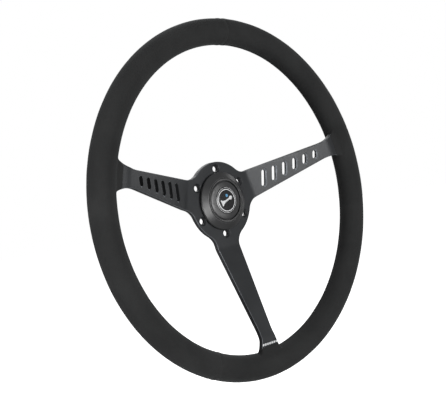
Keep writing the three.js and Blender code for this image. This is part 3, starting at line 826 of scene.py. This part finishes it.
def add_plate():
    outline = plate_outline()
    bore = circle(HUB_BORE, 110)
    bolts = [circle(BOLT_HOLE, 28, turn_point(BOLT_CIRCLE, 0, a)) for a in BOLT_ANGLES]
    cuts = [(outline, -1, edge_levels(0), [1] * len(outline)), (bore, 1, edge_levels(0), [1] * len(bore))]
    cuts += [(loop, 1, bolt_levels(), [1] * len(loop)) for loop in bolts]
    first_slot = len(cuts)
    cuts += [(loop, 1, edge_levels(SLOT_CHAMFER), shares) for loop, shares in slot_loops()]
    points = []
    edge = []
    faces = []
    front = []
    back = []
    for number, (loop, way, levels, shares) in enumerate(cuts):
        starts = []
        for i, (height, inset) in enumerate(levels):
            starts.append(len(points))
            moved = grown(loop, way * inset, shares)
            points += [plate_point(x, y, height) for x, y in moved]
            # Painted highlight and painted shade, with some wear, go into the edge attribute for each point.
            if number >= first_slot:
                edge += slot_painted_light_and_wear(i, shares, (number - first_slot) % SLOT_COUNT)
            else:
                edge += [EDGE_HIGHLIGHT_AND_WEAR if i in (1, 2) and number == 0 else 0.0] * len(loop)
            if i == 0:
                front.append((moved, starts[0]))
        back.append((moved, starts[-1]))
        for a, b in zip(starts, starts[1:]):
            faces += ring_faces(a, b, len(loop))
    for side, height in ((front, HALF_PLATE), (back, -HALF_PLATE)):
        loops = [loop for loop, start in side]
        inner = sheet_points(loops)
        numbers = [start + i for loop, start in side for i in range(len(loop))]
        numbers += range(len(points), len(points) + len(inner))
        points += [plate_point(x, y, height) for x, y in inner]
        edge += [0.0] * len(inner)
        faces += [tuple(numbers[i] for i in face) for face in fill_between(loops, inner)]
    plate = add_piece("plate", (points, faces), ANODISED, replaces=["spoke_plate"],
                      sharp=50)
    # The edge attribute carries the painted highlight and the painted shade into the plate's colour.
    painted_light_and_wear = plate.data.attributes.new("edge", "FLOAT", "POINT")
    painted_light_and_wear.data.foreach_set("value", edge)
    keep_flats_flat(plate)


def add_marking():
    """A row of plain printed dashes where the lower spoke meets the rim."""
    dashes = []
    width, height = MARK_SIZE
    for i in range(MARK_COUNT):
        across = (i - (MARK_COUNT - 1) / 2) * MARK_PITCH
        lean = 0.35
        corners = [(-height / 2, -width / 2 + lean), (height / 2, -width / 2 - lean),
                   (height / 2, width / 2 - lean), (-height / 2, width / 2 + lean)]
        loop = [turn_point(MARK_PLACE + s, across + w, 270) for s, w in corners]
        dashes.append(flat_body([loop], lambda x, y, z: (x, y, z), TAB_FRONT - 0.05, TAB_FRONT + 0.06))
    add_piece("plate_marking", merged(dashes), WHITE_INK)


add_plate()
add_marking()

# ---------------- suede rim


def hem(distance, rise, sink, width):
    """The height of suede that is turned in at a cut edge, at a distance from the edge."""
    ridge = rise * math.exp(-(((distance - 2.3 * width) / (1.4 * width)) ** 2))
    return ridge - sink * math.exp(-((distance / (0.7 * width)) ** 2))


def tab_distance(x, y, z, side_rise=0, face_rise=0, rounding=0):
    """How far a point is from the nearest spoke's tab, below 0 inside it. The tab can be made
    larger at its sides and its faces, and rounded."""
    along, across = turn_point(x, y, -nearest_spoke(x, y))
    past = min(max(along - FLARE_CENTRE[0], 0), 30)
    half_width = min(FLARE_CENTRE[1] - math.sqrt(FLARE_RADIUS**2 - past**2), TAB_HALF_WIDTH)
    dx = abs(across) - half_width - side_rise + rounding
    dz = abs(z - TAB_CENTRE_Z) - HALF_PLATE - face_rise + rounding
    outside = math.hypot(max(dx, 0), max(dz, 0))
    return outside + min(max(dx, dz), 0) - rounding


def grip_point(phi, theta, rise):
    """A point of the grip: degrees round the rim, degrees round the section, and its height."""
    reach = GRIP_RADIUS + rise
    radius = RING_RADIUS + reach * cos(radians(theta))
    z = RIM_PLANE + reach * sin(radians(theta))
    return (*turn_point(radius, 0, phi), z)


def is_under_suede(phi, theta, rise):
    """Whether a place is inside the grip, or in the collar of suede round a spoke's tab."""
    x, y, z = grip_point(phi, theta, rise)
    along, _ = turn_point(x, y, -nearest_spoke(x, y))
    if along < COLLAR_START:
        return False
    share = min(1, 0.35 + (along - COLLAR_START) / 6)
    tab = tab_distance(x, y, z, COLLAR_SIDE_RISE, COLLAR_RISE * share, COLLAR_ROUNDING)
    tab = max(tab, along - COLLAR_END)
    blend = max(COLLAR_FILLET - abs(rise - tab), 0) / COLLAR_FILLET
    return min(rise, tab) - blend**2 * COLLAR_FILLET / 4 < 0


def collar_rise(phi, theta):
    """How far the suede stands above the round grip where it wraps the end of a tab."""
    low, high = 0, 0.4
    while is_under_suede(phi, theta, high):
        low, high = high, high + 0.4
    if low == 0 and not is_under_suede(phi, theta, 0.02):
        return 0
    for _ in range(5):
        middle = (low + high) / 2
        if is_under_suede(phi, theta, middle):
            low = middle
        else:
            high = middle
    return low


def suede_rise(phi, theta, start, end):
    """How far the suede stands above the plain round grip."""
    x, y, z = grip_point(phi, theta, 0)
    cross = min(phi - start, end - phi) * radians(math.hypot(x, y))
    around = (theta - LONG_SEAM) % 360
    long = min(around, 360 - around) * radians(GRIP_RADIUS)
    rise = hem(cross, 0.35, 0.05, 1.6) + hem(long, 0.25, 1.0, 0.6)
    rise += collar_rise(phi, theta)
    spot = Vector((x, y, z))
    rise += 0.10 * noise.noise(spot / 26) + 0.06 * noise.noise(spot / 9)
    return rise


def panel_columns(start, end):
    """Degrees round the rim where the panel has its columns of points."""
    gap = 0.004
    tabs = [angle + turn for angle, _ in SPOKES for turn in (0, 360)]
    ends = [start, end]
    columns = [start + gap]
    while columns[-1] < end - gap - 0.1:
        here = columns[-1]
        edge = min(abs(here - place) for place in ends)
        tab = min(abs(here - place) for place in tabs)
        step = 1.5
        if tab < 9:
            step = 0.4
        if edge < 2.2:
            step = 0.16 + 0.1 * edge
        columns.append(min(here + step, end - gap))
    return columns


def section_rows():
    """Degrees round the grip's section, from one side of the long seam to the other."""
    gap = 0.9
    rows = [LONG_SEAM + gap - 360]
    stop = LONG_SEAM - gap
    while rows[-1] < stop - 0.3:
        here = rows[-1]
        edge = min(here - rows[0], stop - here)
        step = 6
        if 126 < here < 200:
            step = 2
        if 140 < here < 166:
            step = 0.8
        if edge < 14:
            step = 1.8
        rows.append(min(here + step, stop))
    return rows


def add_panel(name, start, end, node):
    columns = panel_columns(start, end)
    rows = section_rows()
    points = []
    buried = []
    for phi in columns:
        for theta in rows:
            point = grip_point(phi, theta, suede_rise(phi, theta, start, end))
            inside = math.hypot(point[0], point[1]) < RING_RADIUS
            buried.append(inside and tab_distance(*point) < -0.4)
            points.append(point)
    faces = []
    for i in range(len(columns) - 1):
        for k in range(len(rows) - 1):
            a = i * len(rows) + k
            face = (a, a + len(rows), a + len(rows) + 1, a + 1)
            if not all(buried[v] for v in face):
                faces.append(face)
    used = sorted({v for face in faces for v in face})
    number = {v: i for i, v in enumerate(used)}
    faces = [tuple(number[v] for v in face) for face in faces]
    panel = add_piece(name, ([points[v] for v in used], faces), SUEDE, replaces=[node],
                      sharp=80)
    shell = panel.modifiers.new("thickness", "SOLIDIFY")
    shell.thickness = SUEDE_THICKNESS / 1000
    shell.offset = -1


STITCH_COUNT = 212
STITCH_SPREAD = 6.5  # degrees of the section from the seam to a leg's end
STITCH_SLANT = 0.45  # degrees of the rim that a leg crosses
LEG_OFFSET = 0.26
THREAD_RADIUS = 0.32


def stitch(phi, side):
    """One leg of a stitch, from a hole on one side of the long seam to one on the other."""
    line = []
    for i in range(7):
        t = i / 6
        theta = LONG_SEAM + STITCH_SPREAD * (t * 2 - 1)
        rise = 0.05 + 0.25 * sin(pi * t) ** 0.6 - (0.75 if i in (0, 6) else 0)
        line.append(grip_point(phi + side * STITCH_SLANT * (t - 0.5), theta, rise))
    return tube_along(line, THREAD_RADIUS, 6)


def add_stitches():
    legs = []
    for i in range(STITCH_COUNT):
        phi = 360 * (i + 0.5) / STITCH_COUNT
        legs.append(stitch(phi - LEG_OFFSET, 1))
        legs.append(stitch(phi + LEG_OFFSET, -1))
    add_piece("seam_stitches", merged(legs), THREAD, replaces=["rim_seam_thread"])


add_panel("suede_left", COVER_SEAMS[0], COVER_SEAMS[1], "rim_cover_left")
add_panel("suede_right", COVER_SEAMS[1], COVER_SEAMS[0] + 360, "rim_cover_right")
add_stitches()

# ---------------- horn button


def dome(radius):
    return CAP_CROWN - radius**2 / (2 * CAP_DOME_RADIUS)


def add_bezel():
    foot = BEZEL_RADIUS - BEZEL_FOOT_INSET
    foot_low = PLATE_THICKNESS + SEAT_GAP
    low, high = BEZEL_EDGE
    outer_edge, floor_outside, floor_inside, inner_edge = BEZEL_GROOVE
    groove_floor = BEZEL_CREST - BEZEL_GROOVE_DEPTH
    corners = [
        (SKIRT_RADIUS, SKIRT_END, 0.3),
        (SKIRT_RADIUS, foot_low, 0),
        (foot, foot_low, 0.2),
        (foot, low - 0.2, 0.2),
        (BEZEL_RADIUS, low, 0.3),
        (BEZEL_RADIUS, high, 0.7),
        (outer_edge, BEZEL_CREST - 0.2, 0.5),
        (floor_outside, groove_floor, 0.2),
        (floor_inside, groove_floor, 0.2),
        (inner_edge, BEZEL_CREST, 0.35),
        (LIP_RADIUS, BEZEL_CREST, 0.5),
        (LIP_RADIUS, LIP_UNDERSIDE, 0),
        (CHAMBER_RADIUS, LIP_UNDERSIDE, 0),
        (CHAMBER_RADIUS, CHAMBER_FLOOR, 0),
        (SKIRT_BORE, CHAMBER_FLOOR, 0),
        (SKIRT_BORE, SKIRT_END, 0.3),
    ]
    bezel = add_piece("bezel", turned(corners, 128), SATIN, replaces=["horn_bezel"])
    keep_flats_flat(bezel)


def add_cap():
    recess = EMBLEM_RADIUS + 0.15
    floor = CAP_CROWN - EMBLEM_THICKNESS - SEAT_GAP
    flange, flange_low, flange_high = CAP_FLANGE
    ceiling = flange_high + 1
    boss_end = CONTACT_UNDERSIDE + CONTACT_SPACE
    radii = [recess + (CAP_RADIUS - 1.2 - recess) * i / 5 for i in range(6)]
    corners = [(0, floor, 0), (recess, floor, 0)]
    corners += [(radius, dome(radius), 0.12 if i == 0 else 0) for i, radius in enumerate(radii)]
    corners += [
        (CAP_RADIUS, dome(CAP_RADIUS) - 0.35, 0.9),
        (CAP_RADIUS, flange_high, 0),
        (flange, flange_high, 0.2),
        (flange, flange_low, 0.2),
        (CAP_RADIUS - CAP_WALL, flange_low, 0),
        (CAP_RADIUS - CAP_WALL, ceiling, 0),
        (CAP_BOSS_RADIUS, ceiling, 0),
        (CAP_BOSS_RADIUS, boss_end, 0),
        (CAP_SCREW_HOLE, boss_end, 0),
        (CAP_SCREW_HOLE, ceiling + 0.2, 0),
        (0, ceiling + 0.2, 0),
    ]
    cap = add_piece("button_cap", turned(corners, 112), SATIN, "horn_button", ["horn_cap"])
    keep_flats_flat(cap)


def on_emblem(x, y, height):
    return (x, y, dome(math.hypot(x, y)) + height)


def add_emblem():
    low = CAP_CROWN - EMBLEM_THICKNESS
    steps = 6
    corners = [(0, low, 0), (EMBLEM_RADIUS, low, 0.05), (EMBLEM_RADIUS, dome(EMBLEM_RADIUS) - 0.15, 0)]
    radii = [EMBLEM_RADIUS - 0.25 - (EMBLEM_RADIUS - 0.25) * i / steps for i in range(steps + 1)]
    corners += [(radius, dome(radius) + 0.02, 0) for radius in radii]
    add_piece("button_emblem", turned(corners, 96), GLOSS, "horn_button", ["horn_emblem"])


def annulus(outer, inner):
    return [spread_line(circle(outer, 96), 0.8), spread_line(circle(inner, 96), 0.8)]


def horn_sign():
    """A plain horn sign: bell, tube and bulb, as loops on the emblem."""
    bell = [(-7.4, 3.6), (-8.3, 3.3), (-8.3, -3.3), (-7.4, -3.6), (-5.9, -2.1), (-3.8, -1.2),
            (-1.4, -0.9), (3.7, -0.9), (3.7, 0.9), (-1.4, 0.9), (-3.8, 1.2), (-5.9, 2.1)]
    place, half_length, half_width = SIGN_BULB
    bulb = [(place + half_length * x, half_width * y) for x, y in circle(1, 32)]
    return [[turn_point(x, y, SIGN_LEAN) for x, y in loop] for loop in (bell, bulb)]


def add_emblem_print():
    shapes = [annulus(*radii) for radii in EMBLEM_RINGS]
    shapes += [[spread_line(loop, 0.6)] for loop in horn_sign()]
    shape = merged([flat_body(loops, on_emblem, -PRINT_SINK, PRINT_RISE) for loops in shapes])
    add_piece("emblem_print", shape, WHITE_INK, "horn_button")
    shape = flat_body([circle(DOT_RADIUS, 28, DOT_PLACE)], on_emblem, -PRINT_SINK, DOT_RISE)
    add_piece("emblem_dot", shape, BLUE_INK, "horn_button")


def add_base():
    flange, flange_front = BASE_FLANGE
    wall_inside, wall_outside = BASE_WALL
    wall_top = FIXED_CONTACT_TOP - CONTACT_SPACE
    corners = [
        (0, BASE_BOTTOM, 0),
        (9, BASE_BOTTOM, 0.2),
        (9.4, BASE_BOTTOM + 0.4, 0.2),
        (18.6, BASE_BOTTOM + 0.4, 0.2),
        (19, BASE_BOTTOM, 0.2),
        (flange, BASE_BOTTOM, 0.5),
        (flange, flange_front, 0.3),
        (BASE_SPIGOT_RADIUS, flange_front, 0),
        (BASE_SPIGOT_RADIUS, BASE_FLOOR, 0.2),
        (wall_outside, BASE_FLOOR, 0),
        (wall_outside, wall_top, 0.2),
        (wall_inside, wall_top, 0.2),
        (wall_inside, BASE_FLOOR, 0),
        (0, BASE_FLOOR, 0),
    ]
    base = add_piece("button_base", turned(corners, 96), MOULDED, replaces=["horn_base"])
    keep_flats_flat(base)


def cross_head(radius, seat, height):
    """A pan head with a cross recess, standing off its seat towards the rear."""
    arm, half = radius * 0.55, radius * 0.14
    cross = []
    for quarter in range(4):
        for x, y in ((half, -half), (arm, -half), (arm, half)):
            cross.append(turn_point(x, y, 90 * quarter))
    rim = circle(radius, 36)
    top = circle(radius * 0.78, 36)
    face = fill_between([top, cross])
    count = len(top)
    points = [(x, y, seat) for x, y in rim]
    points += [(x, y, seat - height * 0.55) for x, y in circle(radius * 0.97, 36)]
    first = len(points)
    points += [(x, y, seat - height) for x, y in top + cross]
    floor = len(points)
    points += [(x * 0.8, y * 0.8, seat - height * 0.3) for x, y in cross]
    faces = ring_faces(0, 36, 36) + ring_faces(36, first, 36)
    faces += [tuple(first + i for i in triangle) for triangle in face]
    faces += ring_faces(first + count, floor, len(cross))
    faces.append(tuple(floor + i for i in range(len(cross))))
    faces.append(tuple(range(36)))
    return points, faces


def add_base_screws():
    radius, height = SCREW_HEAD
    profile = [(0, BASE_BOTTOM, 0), (SCREW_SHANK, BASE_BOTTOM, 0), (SCREW_SHANK, 0, 0.4), (0, 0, 0)]
    for i, degrees in enumerate(SCREW_ANGLES):
        head = cross_head(radius, BASE_BOTTOM - 0.05, height)
        shank = turned(profile, 20)
        shape = placed(merged([head, shank]), (SCREW_CIRCLE, 0, 0), degrees)
        name = f"base_screw_{i + 1}"
        add_piece(name, shape, ZINC, replaces=[f"horn_{name}"])


def blade_outline(length, width):
    """A spade terminal's blade: chamfered end corners."""
    half = width / 2
    cut = 1.1
    return [(0, -half), (length - cut, -half), (length, -half + cut), (length, half - cut),
            (length - cut, half), (0, half)]


def add_terminal(name, rivet_x):
    """An L-shaped spade: a foot on the base, and a blade with its latch hole."""
    away = math.copysign(1, rivet_x)
    top = BASE_BOTTOM - SEAT_GAP
    hole = circle(1.5, 24)
    foot_loop = [(-3.5, -3.15), (3.5, -3.15), (3.5, 3.15), (-3.5, 3.15)]
    foot = flat_body([spread_line(foot_loop, 1.2), hole], lambda x, y, z: (x, y, z),
                     top - BLADE_THICKNESS, top)
    latch = circle(0.9, 20, (5.2, 0))
    blade = flat_body(
        [spread_line(blade_outline(*BLADE_SIZE), 1.2), latch],
        lambda x, y, z: (away * (3.5 - z), y, top - x),
        0.0,
        BLADE_THICKNESS,
    )
    shape = placed(merged([foot, blade]), (rivet_x, 0, 0))
    piece = add_piece(f"terminal_{name}", shape, BRASS, replaces=[f"horn_terminal_{name}"])
    soften = piece.modifiers.new("edges", "BEVEL")
    soften.width = 0.00012
    soften.segments = 2
    soften.limit_method = "ANGLE"


def add_rivet(name, x, top):
    seat = BASE_BOTTOM - 1.1
    corners = [
        (0, seat - 0.9, 0),
        (RIVET_SHANK, seat - 0.9, 0.5),
        (RIVET_HEAD, seat - 0.25, 0.4),
        (RIVET_HEAD, seat, 0),
        (RIVET_SHANK, seat, 0),
        (RIVET_SHANK, top, 0),
        (0, top, 0),
    ]
    shape = placed(turned(corners, 32), (x, 0, 0))
    add_piece(f"rivet_{name}", shape, BRASS, replaces=[f"horn_rivet_{name}"])


def add_clips():
    """Bowed spring leaves between the skirt and the hub's bore."""
    count = len(CLIP_LINE)
    for i in range(CLIP_COUNT):
        points = []
        for reach in (0, CLIP_THICKNESS):
            for side in (-CLIP_HALF_WIDTH, CLIP_HALF_WIDTH):
                points += [(r + reach, side, z) for r, z in CLIP_LINE]
        faces = []
        for k in range(count - 1):
            a, b, c, d = (n * count + k for n in range(4))
            faces += [(a, a + 1, b + 1, b), (c, d, d + 1, c + 1), (a, c, c + 1, a + 1), (b, b + 1, d + 1, d)]
        faces += [(0, count, 3 * count, 2 * count)]
        faces += [(count - 1, 3 * count - 1, 4 * count - 1, 2 * count - 1)]
        shape = placed((points, faces), degrees=45 + 90 * i)
        add_piece(f"clip_{i + 1}", shape, ZINC, replaces=[f"horn_clip_{i + 1}"])


def spring_line(low, high):
    """The middle of the spring's wire. At each end a turn lies nearly flat, half a wire from the next."""
    end = SPRING_END_SHARE
    line = []
    for i in range(SPRING_STEPS + 1):
        t = i / SPRING_STEPS
        share = min(1, max(0, (t - end) / (1 - 2 * end)))
        lift = (min(t, end) - min(1 - t, end) + end) / end * SPRING_WIRE * 0.5
        z = low + (high - low - SPRING_WIRE) * share + lift
        line.append((*turn_point(SPRING_RADIUS, 0, 360 * SPRING_TURNS * t), z))
    return line


def add_spring():
    """The return spring, taken off its body."""
    low = BASE_FLOOR + SEAT_GAP + SPRING_WIRE
    high = CONTACT_UNDERSIDE - SEAT_GAP - SPRING_WIRE
    shape = tube_along(spring_line(low, high), SPRING_WIRE, 8)
    spring = add_piece("button_spring", shape, ZINC, replaces=["horn_spring"])
    spring.parent = None
    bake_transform(spring)


add_bezel()
add_cap()
add_emblem()
add_emblem_print()
add_base()
add_base_screws()
add_terminal("signal", SIGNAL_RIVET_X)
add_terminal("ground", GROUND_RIVET_X)
add_rivet("signal", SIGNAL_RIVET_X, FIXED_CONTACT_TOP - SEAT_GAP)
add_rivet("ground", GROUND_RIVET_X, BASE_FLOOR - SEAT_GAP)
add_clips()
add_spring()

# ---------------- CAD pieces that stay

HIDDEN_FINISHES = {
    "rim_armature_ring": ALUMINIUM,
    "rim_grip_foam": FOAM,
    "horn_moving_contact": BRASS,
    "horn_fixed_contact": BRASS,
    "horn_contact_screw": ZINC,
}
for number in range(1, 7):
    HIDDEN_FINISHES[f"spoke_rivet_{number}"] = ALUMINIUM

for node, material in HIDDEN_FINISHES.items():
    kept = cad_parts[node].data
    kept.materials.clear()
    kept.materials.append(material)

# ---------------- studio


ROOM_LIGHT = 0.2
FLOOR_GLOW = 1.0
FLOOR_HALF_SIZE = 6
FLOOR_DROP = 0.12  # below the wheel

STUDIO_LIGHTS = (  # name, place, width, height and power
    ("front", (-0.04, -1.3, -0.04), 1.08, 0.5, 12),
    ("low", (-0.5, -1.15, -0.5), 0.5, 0.4, 7),
    ("right", (1.3, -0.14, 0.2), 0.5, 0.9, 2.8),
    ("left", (-1.3, -0.05, 0.0), 0.16, 0.9, 11),
    ("back", (0.5, 1.1, 1.2), 0.8, 0.8, 8),
)


def area_light(name, place, width, height, power):
    """A light that faces the wheel's centre."""
    data = bpy.data.lights.new(name, "AREA")
    data.shape = "RECTANGLE"
    data.size = width
    data.size_y = height
    data.energy = power
    light = bpy.data.objects.new(name, data)
    bpy.context.scene.collection.objects.link(light)
    light.location = place
    light.rotation_euler = Vector(place).to_track_quat("Z", "Y").to_euler()


def add_floor():
    size = FLOOR_HALF_SIZE
    drop = cad_low.z - FLOOR_DROP
    mesh = bpy.data.meshes.new("floor")
    corners = [(-size, -size, drop), (size, -size, drop), (size, size, drop), (-size, size, drop)]
    mesh.from_pydata(corners, [], [(0, 1, 2, 3)])
    finish = Finish("floor", (0.93, 0.93, 0.93), 0.9)
    finish.set("Specular IOR Level", 0.0)
    finish.set("Emission Color", (1, 1, 1, 1))
    finish.set("Emission Strength", FLOOR_GLOW)
    finish.tint(finish.noise(3, detail=2), (0.99, 0.99, 0.99), (1.0, 1.0, 1.0))
    mesh.materials.append(finish.material)
    floor = bpy.data.objects.new("floor", mesh)
    bpy.context.scene.collection.objects.link(floor)
    floor.visible_diffuse = False
    floor.visible_glossy = False


def white_backdrop(room):
    """A world that is white behind the wheel and gives the dimmer light of a room."""
    world = bpy.data.worlds.new("studio")
    world.use_nodes = True
    tree = world.node_tree
    output = tree.nodes["World Output"]
    around = tree.nodes["Background"]
    around.inputs["Color"].default_value = (room, room, room, 1)
    behind = tree.nodes.new("ShaderNodeBackground")
    behind.inputs["Color"].default_value = (1, 1, 1, 1)
    path = tree.nodes.new("ShaderNodeLightPath")
    mix = tree.nodes.new("ShaderNodeMixShader")
    tree.links.new(path.outputs["Is Camera Ray"], mix.inputs["Fac"])
    tree.links.new(around.outputs["Background"], mix.inputs[1])
    tree.links.new(behind.outputs["Background"], mix.inputs[2])
    tree.links.new(mix.outputs["Shader"], output.inputs["Surface"])
    return world


def light_studio():
    scene = bpy.context.scene
    scene.world = white_backdrop(ROOM_LIGHT)
    for light in STUDIO_LIGHTS:
        area_light(*light)
    scene.view_settings.view_transform = "Standard"
    scene.view_settings.look = "None"


add_floor()
light_studio()
